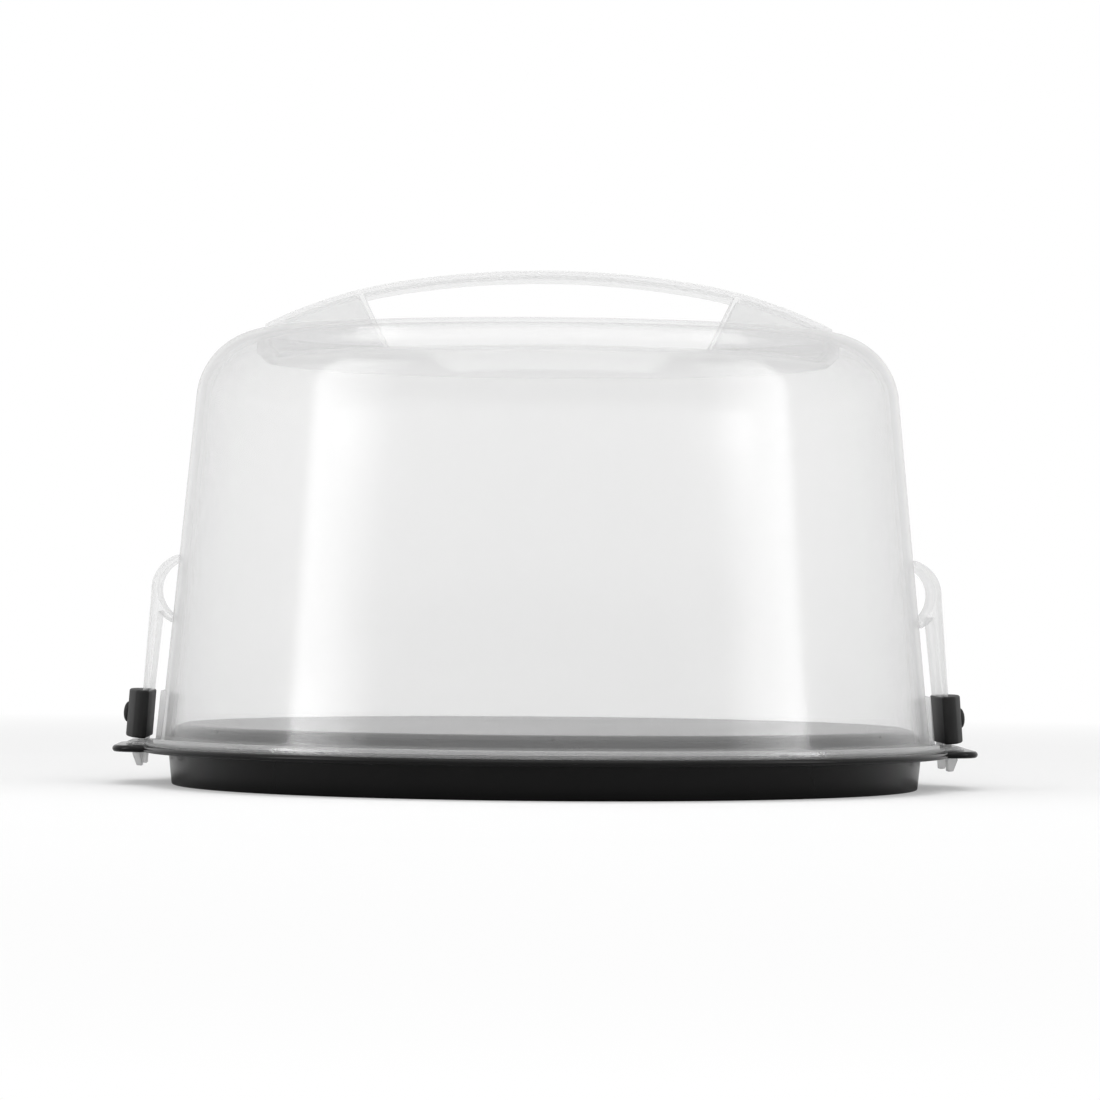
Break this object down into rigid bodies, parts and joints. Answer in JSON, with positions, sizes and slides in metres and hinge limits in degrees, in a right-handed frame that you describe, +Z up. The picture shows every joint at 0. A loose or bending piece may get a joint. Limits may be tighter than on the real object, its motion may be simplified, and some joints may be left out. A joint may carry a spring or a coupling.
{
  "type": "cake carrier",
  "caption": "Round cake carrier: a black tray under a clear lift-off dome with an arched handle, locked by a sprung side clip on each side.",
  "frame": {"origin": "on the table, on the axis of the tray, at the middle of the foot ring", "axes": "+Z up, +X towards the right-hand clip and along the handle, -Y towards the viewer of the picture"},
  "size_m": [0.356, 0.336, 0.213],
  "materials": {
    "tray_black": "fine satin gloss, moulded",
    "dome_clear": "frosted translucent, lightly glossy",
    "handle_clear": "frosted translucent, lightly glossy",
    "clip_clear": "frosted translucent, lightly glossy",
    "grip_black": "satin soft-touch"
  },
  "bodies": {
    "base": {"tray": "tray_black"},
    "lid": {"dome": "dome_clear", "handle": "handle_clear", "spring_loop_left": "clip_clear", "spring_loop_right": "clip_clear"},
    "clip_left": {"clip_arm_left": "clip_clear", "clip_grip_left": "grip_black"},
    "clip_right": {"clip_arm_right": "clip_clear", "clip_grip_right": "grip_black"}
  },
  "joints": [
    {"name": "lid_lift", "type": "slide", "parent": "base", "child": "lid", "axis": [0, 0, 1], "range_m": [0, 0.2]},
    {"name": "clip_left_press", "type": "hinge", "parent": "lid", "child": "clip_left", "pos_m": [-0.14756, 0, 0.0801], "axis": [0, -1, 0], "range_deg": [-1.8, 3.3], "stiffness_Nm_per_rad": 6, "springref_deg": -1.8},
    {"name": "clip_right_press", "type": "hinge", "parent": "lid", "child": "clip_right", "pos_m": [0.14756, 0, 0.0801], "axis": [0, 1, 0], "range_deg": [-1.8, 3.3], "stiffness_Nm_per_rad": 6, "springref_deg": -1.8}
  ]
}
